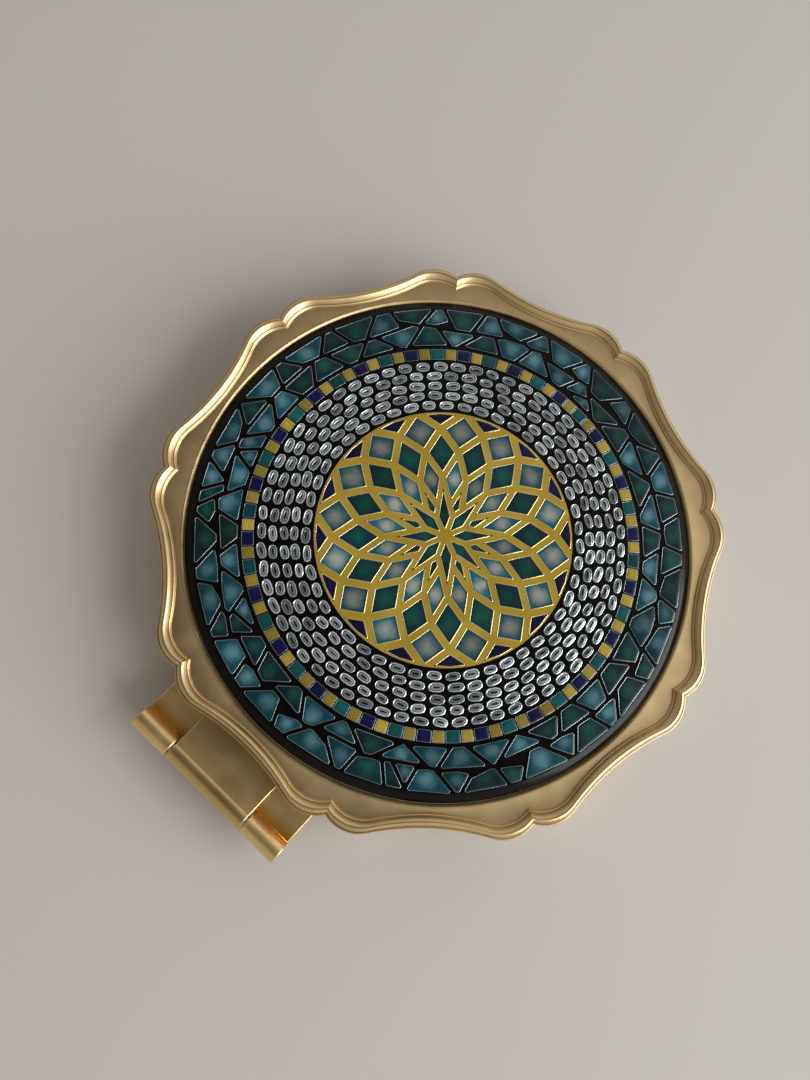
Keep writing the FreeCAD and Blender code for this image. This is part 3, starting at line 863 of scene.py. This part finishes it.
def merged_copy(node):
    """Editable copy of a CAD node: loose triangles joined, and flat faces made whole."""
    shape = bmesh.new()
    shape.from_mesh(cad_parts[node].data)
    bmesh.ops.remove_doubles(shape, verts=shape.verts, dist=merge_distance)
    bmesh.ops.dissolve_limit(
        shape, angle_limit=math.radians(flat_angle), verts=shape.verts, edges=shape.edges
    )
    return shape


def smooth_copy(name, node, material):
    """Piece with the merged shape of a CAD node, smooth where the node is round."""
    mesh = as_mesh(merged_copy(node), name)
    mesh.materials.append(material)
    mesh.shade_smooth()
    mesh.set_sharp_from_angle(angle=math.radians(smooth_angle))
    print(name, len(mesh.polygons), "faces")
    return new_object(name, mesh)


def bevelled_copy(name, node, material, width):
    piece = smooth_copy(name, node, material)
    bevel = piece.modifiers.new("soft_edges", "BEVEL")
    bevel.width = width
    bevel.segments = bevel_segments
    bevel.limit_method = "ANGLE"
    bevel.angle_limit = math.radians(bevel_angle)
    return piece


for body, leaf_gold in (("lid", hinge_satin), ("base", polished_gold)):
    leaf_node = body + "_hinge_leaf"
    leaf = bevelled_copy(body + "_leaf", leaf_node, leaf_gold, leaf_edge)
    settle(leaf, body, "hinge_gold", leaf_node)
for body in ("lid", "base"):
    magnets = bevelled_copy(body + "_catch_magnets", body + "_magnets", magnet_nickel, magnet_edge)
    settle(magnets, body, "magnet_nickel", body + "_magnets")

# %% [markdown]
# ## Glass tiles
# Shards, squares and rhombs are all the same thing in the hand: a small pool of glass with round
# corners, a steep edge and a soft dome, inside a fine raised wire. They could be sculpted one by one,
# but a rule keeps them alike. The tree rounds an outline, fills it, and then draws the face in and up,
# ring by ring. It writes how deep inside the tile each ring is, for the colour.

# %% Tile tree
tile_rings = (
    # share of the outline, share of the dome's rise, colour depth
    (0.92, 0.5, 0.1), (0.76, 0.82, 0.38), (0.52, 0.95, 0.78), (0.3, 0.99, 0.95), (0.1, 1.0, 1.0),
)
corner_steps = 3


def rounded_outline(tree, start):
    """Closed curves along the input's faces, with round corners."""
    return made(tree, "GeometryNodeFilletCurve", {
        "Curve": made(tree, "GeometryNodeMeshToCurve", {"Mesh": start["Mesh"]}),
        "Count": corner_steps, "Radius": start["Corner"], "Limit Radius": True,
    }, mode="POLY")


def at_height(tree, shape, height, selection=True):
    """Moves points to one height and leaves the rest of their place alone."""
    place = made(tree, "ShaderNodeCombineXYZ", own_parts(tree) | {"Z": height})
    inputs = {"Geometry": shape, "Selection": selection, "Position": place}
    return made(tree, "GeometryNodeSetPosition", inputs)


def make_tile_tree():
    tree, start = shape_tree("domed_tile", [
        ("Corner", "Float"), ("Foot", "Float"), ("Rim", "Float"), ("Crown", "Float"), ("Seed", "Int"),
    ])
    filled = made(tree, "GeometryNodeFillCurve", {"Curve": rounded_outline(tree, start)}, mode="NGONS")
    flat = at_height(tree, filled, start["Foot"])
    middle = add(tree, "GeometryNodeFieldOnDomain", domain="FACE", data_type="FLOAT_VECTOR")
    fill(tree, middle, {"Value": made(tree, "GeometryNodeInputPosition")})
    centred = stored(tree, flat, "middle", port(middle.outputs, "Value"), "FLOAT_VECTOR")
    side = calc(tree, "SQRT", made(tree, "GeometryNodeInputMeshFaceArea"))
    foot = stored(tree, centred, "reach", side * 0.5)

    def next_ring(shape, face, scale, height, depth):
        """Draws a face in and up. Gives back the shape and the face that is now on top."""
        drawn = add(tree, "GeometryNodeExtrudeMesh", {
            "Mesh": shape, "Selection": face, "Offset Scale": 0.0, "Individual": False,
        }, mode="FACES").outputs
        top = drawn["Top"]
        scaled = made(tree, "GeometryNodeScaleElements", {
            "Geometry": drawn["Mesh"], "Selection": top, "Scale": scale,
        })
        raised = at_height(tree, scaled, height, top)
        return stored(tree, raised, "depth", depth, selection=top), top

    rise = start["Crown"] - start["Rim"]
    dome, face = next_ring(foot, True, 1.0, start["Rim"], 0.0)
    before = 1.0
    for scale, lift, depth in tile_rings:
        dome, face = next_ring(dome, face, scale / before, rise * lift + start["Rim"], depth)
        before = scale
    whole = add(tree, "GeometryNodeJoinGeometry")
    feed(tree, whole.inputs["Geometry"], dome)
    feed(tree, whole.inputs["Geometry"], made(tree, "GeometryNodeFlipFaces", {"Mesh": foot}))
    closed = merged(tree, whole.outputs["Geometry"], merge_distance)
    island = made(tree, "GeometryNodeInputMeshIsland")
    tone = add(tree, "FunctionNodeRandomValue", {"ID": island, "Seed": start["Seed"]}, data_type="FLOAT")
    return close_tree(tree, start, stored(tree, closed, "tone", port(tone.outputs, "Value")))


tile_tree = make_tile_tree()
print("tile tree:", len(tile_tree.nodes), "nodes")

# %% Wire tree
wire_sides = 6


def make_wire_tree():
    sizes = [("Corner", "Float"), ("Height", "Float"), ("Thickness", "Float")]
    tree, start = shape_tree("outline_wire", sizes)
    section = made(tree, "GeometryNodeCurvePrimitiveCircle", {
        "Resolution": wire_sides, "Radius": start["Thickness"] * 0.5,
    })
    curve = at_height(tree, rounded_outline(tree, start), start["Height"])
    wire = made(tree, "GeometryNodeCurveToMesh", {"Curve": curve, "Profile Curve": section})
    return close_tree(tree, start, merged(tree, wire, merge_distance))


wire_tree = make_wire_tree()
print("wire tree:", len(wire_tree.nodes), "nodes")

# %% [markdown]
# ### Outlines of the tiles
# The mosaic's layout is already in the CAD tiles, so it isn't drawn again here. The upper face of each
# tile is read from a merged copy, and its corners are the outline that the trees start from.

# %% Outlines of the CAD tiles
level_enough = 0.99
shard_kinds = ("shard_tiles_blue", "shard_tiles_green")
square_kinds = ("band_tiles_gold", "band_tiles_teal", "band_tiles_navy")
rhomb_kinds = ("rosette_tiles_blue", "rosette_tiles_green", "rosette_border_tiles")


def top_outlines(node):
    """Outlines of the upper faces of CAD tiles, in metres."""
    shape = merged_copy(node)
    upper = [face for face in shape.faces if face.normal.z > level_enough]
    outlines = [[corner.co.copy() for corner in face.verts] for face in upper]
    shape.free()
    return outlines


def outline_mesh(name, outlines):
    points = []
    faces = []
    for outline in outlines:
        faces.append(list(range(len(points), len(points) + len(outline))))
        points += [(corner.x, corner.y, 0) for corner in outline]
    mesh = bpy.data.meshes.new(name + "_outline")
    mesh.from_pydata(points, [], faces)
    return mesh


tile_outlines = {kind: top_outlines(kind) for kind in shard_kinds + square_kinds + rhomb_kinds}
print("tiles:", {kind: len(outlines) for kind, outlines in tile_outlines.items()})

# %% [markdown]
# ### Joints between the shards
# A mosaic maker nibbles each shard to fit its neighbours, so that the joints come out about equally
# wide. The CAD shards are cores with uneven gaps. All could be blown up by one distance, but the narrow
# joints would close long before the wide ones do. So each core grows until it meets a line halfway to
# each neighbour, less half a joint. Such a line never crosses either shape, so no two shards can touch.

# %% Shards grown to even joints
shard_joint, most_growth, least_side = 0.54 * mm, 0.7 * mm, 0.3 * mm
ring_inside, ring_outside = 27.75 * mm, 33.2 * mm


def sides_of(outline):
    """Each corner of an outline with the next one."""
    return zip(outline, outline[1:] + outline[:1])


def cut_back(outline, point, outwards):
    """Part of a convex outline that lies behind a line through a point."""
    kept = []
    for corner, after in sides_of(outline):
        ahead = (corner - point).dot(outwards)
        ahead_after = (after - point).dot(outwards)
        if ahead <= 0:
            kept.append(corner)
        if ahead * ahead_after < 0:
            kept.append(corner.lerp(after, ahead / (ahead - ahead_after)))
    return kept


def nearest_step(outline, other):
    """Nearest point of an outline to another one, and the way from there to the other."""
    steps = []
    for corners, facing, sign in ((outline, other, 1), (other, outline, -1)):
        for corner in corners:
            for start, end in sides_of(facing):
                share = (corner - start).dot(end - start) / (end - start).length_squared
                way = start.lerp(end, min(max(share, 0), 1)) - corner
                steps.append((way.length, corner if sign > 0 else corner + way, way * sign))
    distance, point, way = min(steps, key=lambda step: step[0])
    return point, way


def grown_shard(core, cores):
    """Outline of a core that has grown up to its neighbours, less half a joint."""
    middle = sum(core, Vector((0, 0))) / len(core)
    away = middle.normalized()
    shard = [middle + Vector(corner) * ring_outside for corner in unit_square]
    for start, end in sides_of(core):
        outwards = Vector((end.y - start.y, start.x - end.x)).normalized()
        shard = cut_back(shard, start + outwards * most_growth, outwards)
    for other in cores:
        if other is not core:
            point, way = nearest_step(core, other)
            shard = cut_back(shard, point + way / 2 - way.normalized() * shard_joint / 2, way)
    shard = cut_back(shard, away * ring_inside, -away)
    shard = cut_back(shard, away * ring_outside, away)
    return [corner for corner, after in sides_of(shard) if (after - corner).length > least_side]


shard_cores = {}
for kind in shard_kinds:
    shard_cores[kind] = [[corner.to_2d() for corner in core] for core in tile_outlines[kind]]
all_cores = sum(shard_cores.values(), [])
for kind, cores in shard_cores.items():
    tile_outlines[kind] = [grown_shard(core, all_cores) for core in cores]
    print(kind, "grown, most corners:", max(len(outline) for outline in tile_outlines[kind]))

# %% [markdown]
# ### Laying the tiles
# Each kind of tile is one piece with its own glass, and its seed gives its tiles their own tones. The
# wires of one band are one piece too. The lattice between the rhombs is the CAD shape as it is: the
# wires cover its edges, so it needs no bevel.

# %% Tiles and wires of the three bands
foot_sink, dome_rise = 0.03 * mm, 0.07 * mm
first_seed, seed_step = 3, 2
shard_corner, square_corner, rhomb_corner = 0.2 * mm, 0.1 * mm, 0.1 * mm
shard_wire, square_wire, rhomb_wire = 0.12 * mm, 0.09 * mm, 0.17 * mm
wire_angle = 80
tile_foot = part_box("medallion_plate")[1].z - foot_sink


def lay_tiles(name, node, slot, material, corner, seed):
    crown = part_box(node)[1].z
    sizes = {
        "Corner": corner, "Foot": tile_foot, "Rim": crown - dome_rise, "Crown": crown,
        "Seed": seed, "Material": material,
    }
    settle(grow(name, outline_mesh(name, tile_outlines[node]), tile_tree, sizes), "lid", slot, node)


def lay_wires(name, slot, material, corner, height, thickness, nodes):
    sizes = {"Corner": corner, "Height": height, "Thickness": thickness, "Material": material}
    outlines = [outline for node in nodes for outline in tile_outlines[node]]
    settle(grow(name, outline_mesh(name, outlines), wire_tree, sizes, wire_angle), "lid", slot)


tile_rows = (
    ("pale_shards", "shard_tiles_blue", "pale_blue_glass", pale_shard, shard_corner),
    ("green_shards", "shard_tiles_green", "deep_green_glass", green_shard, shard_corner),
    ("gold_squares", "band_tiles_gold", "gold_glass", gold_square, square_corner),
    ("teal_squares", "band_tiles_teal", "teal_glass", teal_square, square_corner),
    ("navy_squares", "band_tiles_navy", "navy_glass", navy_square, square_corner),
    ("pale_rhombs", "rosette_tiles_blue", "pale_blue_glass", pale_rhomb, rhomb_corner),
    ("green_rhombs", "rosette_tiles_green", "deep_green_glass", green_rhomb, rhomb_corner),
    ("navy_border", "rosette_border_tiles", "navy_glass", navy_square, rhomb_corner),
)
for row_number, row in enumerate(tile_rows):
    lay_tiles(*row, first_seed + seed_step * row_number)

shard_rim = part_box("shard_tiles_blue")[1].z - dome_rise
square_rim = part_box("band_tiles_gold")[1].z - dome_rise
rhomb_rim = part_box("rosette_lattice")[1].z - rhomb_wire / 4
lay_wires("shard_wires", "silver_glass", silver_line, shard_corner, shard_rim, shard_wire, shard_kinds)
lay_wires("square_wires", "silver_glass", silver_line, square_corner, square_rim, square_wire, square_kinds)
lay_wires("rhomb_wires", "lattice_gold", bright_gold, rhomb_corner, rhomb_rim, rhomb_wire, rhomb_kinds)
lattice = smooth_copy("gold_lattice", "rosette_lattice", lattice_gold)
settle(lattice, "lid", "lattice_gold", "rosette_lattice")

# %% [markdown]
# ## Silver beads
# Rows of pressed oval beads fill the ring around the rosette. Each has a rolled edge, a channel, a core
# and a slit in its middle, and no two are quite alike. Their silver colour carries painted light: a
# painted highlight on the rolled edge and the core, and painted shade in the channel and the slit.
# Modelling hundreds of them by hand would be slow, and one perfect bead copied would look printed. So
# one low bead is made from rings, and the tree sets it near each place with its own length, breadth and
# small turn.

# %% One bead
bead_segments = 10
bead_rings = (
    # share of the length, share of the breadth, share of the height, painted light from shade (0) to
    # highlight (1)
    (1.0, 1.0, 0.0, 0.0), (1.0, 1.0, 0.45, 0.6), (0.94, 0.91, 0.88, 1.0), (0.86, 0.78, 1.0, 1.0),
    (0.77, 0.64, 0.8, 0.0), (0.66, 0.48, 0.94, 0.75), (0.52, 0.25, 0.96, 0.6), (0.42, 0.1, 0.6, 0.0),
)
bead_length, bead_breadth, bead_sink = 2.42 * mm, 1.4 * mm, 0.03 * mm
bead_low, bead_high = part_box("silver_beads")
bead_height = bead_high.z - bead_low.z
bead_bluntness = 2.6


def squared(share):
    """Pushes a sine or cosine outwards, so that a circle gets blunter."""
    return math.copysign(abs(share)**(2 / bead_bluntness), share)


def bead_form():
    """One bead as a mesh: rings from its foot to its middle, with a closed underside."""
    shape = bmesh.new()
    # Each point's depth is painted light: 0 is painted shade, 1 a painted highlight.
    depth = shape.verts.layers.float.new("depth")
    rings = []
    for long_share, broad_share, lift, painted_light in bead_rings:
        ring = []
        for step in range(bead_segments):
            angle = 2 * math.pi * step / bead_segments
            x = squared(math.cos(angle)) * bead_length / 2 * long_share
            y = squared(math.sin(angle)) * bead_breadth / 2 * broad_share
            vert = shape.verts.new((x, y, bead_height * lift))
            vert[depth] = painted_light
            ring.append(vert)
        rings.append(ring)
    for lower, upper in zip(rings, rings[1:]):
        for (low_vert, next_low), (high_vert, next_high) in zip(sides_of(lower), sides_of(upper)):
            shape.faces.new((low_vert, next_low, next_high, high_vert))
    shape.faces.new(rings[-1])
    shape.faces.new(rings[0][::-1])
    return as_mesh(shape, "bead_form")


bead_model = new_object("bead_model", bead_form())
print("faces of one bead:", len(bead_model.data.polygons))

# %% Rows of beads
turn_draw, scale_draw, tone_draw, x_draw, y_draw = 1.0, 2.0, 3.0, 4.0, 5.0
# Silver of the beads, darker for painted shade in the channel and slit, lighter for painted highlights.
bead_silver_shade, bead_silver_highlight = (0.035, 0.055, 0.072, 1), (0.72, 0.80, 0.83, 1)
bead_gloss, bead_metallic = (0.08, 0.2), 0.75
ripple_scale, ripple_depth = 1500.0, 45 * micron


def make_bead_tree():
    tree, start = shape_tree("bead_rows", [
        ("Bead", "Object"), ("Least Scale", "Vector"), ("Most Scale", "Vector"), ("Turn", "Float"),
        ("Stray", "Float"), ("Seed", "Int"),
    ])
    bead = add(tree, "GeometryNodeObjectInfo", {"Object": start["Bead"]}).outputs["Geometry"]
    parts = own_parts(tree)
    around = calc(tree, "ARCTAN2", parts["Y"], parts["X"])

    def chance(data_type, low, high, draw):
        inputs = {"Min": low, "Max": high, "Seed": start["Seed"] + draw}
        node = add(tree, "FunctionNodeRandomValue", inputs, data_type=data_type)
        return port(node.outputs, "Value")

    def swung(amount, draw):
        return chance("FLOAT", amount * -1.0, amount, draw)

    along_row = around + math.pi / 2 + swung(start["Turn"], turn_draw)
    strayed = made(tree, "ShaderNodeCombineXYZ", {
        "X": swung(start["Stray"], x_draw), "Y": swung(start["Stray"], y_draw),
    })
    rows = made(tree, "GeometryNodeInstanceOnPoints", {
        "Points": made(tree, "GeometryNodeSetPosition", {"Geometry": start["Mesh"], "Offset": strayed}),
        "Instance": bead,
        "Rotation": made(tree, "ShaderNodeCombineXYZ", {"Z": along_row}),
        "Scale": chance("FLOAT_VECTOR", start["Least Scale"], start["Most Scale"], scale_draw),
    })
    tone = chance("FLOAT", 0.0, 1.0, tone_draw)
    return close_tree(tree, start, stored(tree, rows, "tone", tone, domain="INSTANCE"))


def silver_glass():
    """Silvered glass with painted light: a painted highlight where the bead is rolled, painted shade in its
    channel.
    """
    material, tree, shader = new_material("silver_bead")
    place = own_place(tree)
    pool = use_group(
        tree, glass_pool, vector=place, depth=attribute(tree, "depth"), tone=attribute(tree, "tone"),
        edge=bead_silver_shade, middle=bead_silver_highlight,
    )
    ripple = use_group(tree, fine_grain, vector=place, scale=ripple_scale)["Height"]
    fill(tree, shader, {
        "Base Color": pool["Color"],
        "Roughness": ranged(tree, pool["Cloud"], *bead_gloss),
        "Metallic": bead_metallic,
        "Normal": bumped(tree, ripple, ripple_depth),
    })
    return material


bead_sizes = {
    "Bead": bead_model, "Least Scale": (0.8, 0.82, 0.8), "Most Scale": (1.0, 1.0, 1.0),
    "Turn": math.radians(10), "Stray": 0.07 * mm, "Seed": 4, "Material": silver_glass(),
}
bead_points = [sum(outline, Vector()) / len(outline) for outline in top_outlines("silver_beads")]
bead_places = bpy.data.meshes.new("bead_places")
bead_places.from_pydata([(point.x, point.y, bead_low.z - bead_sink) for point in bead_points], [], [])
beads = grow("pressed_beads", bead_places, make_bead_tree(), bead_sizes)
bpy.data.objects.remove(bead_model)
settle(beads, "lid", "silver_glass", "silver_beads")
print("beads:", len(bead_points))

# %% [markdown]
# ## What stays hidden
# The pin, the pads behind the mirrors and the glue under the medallion are in the right shape already.
# They hardly show, so the CAD meshes stay, and only get a finish.

# %% Finishes for CAD pieces that stay
kept_finishes = {
    "hinge_pin": pin_steel, "base_mirror_pad": glue, "lid_mirror_pad": glue, "medallion_glue": glue,
}
for node, material in kept_finishes.items():
    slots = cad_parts[node].data.materials
    slots.clear()
    slots.append(material)
    print(node, "has", material.name)
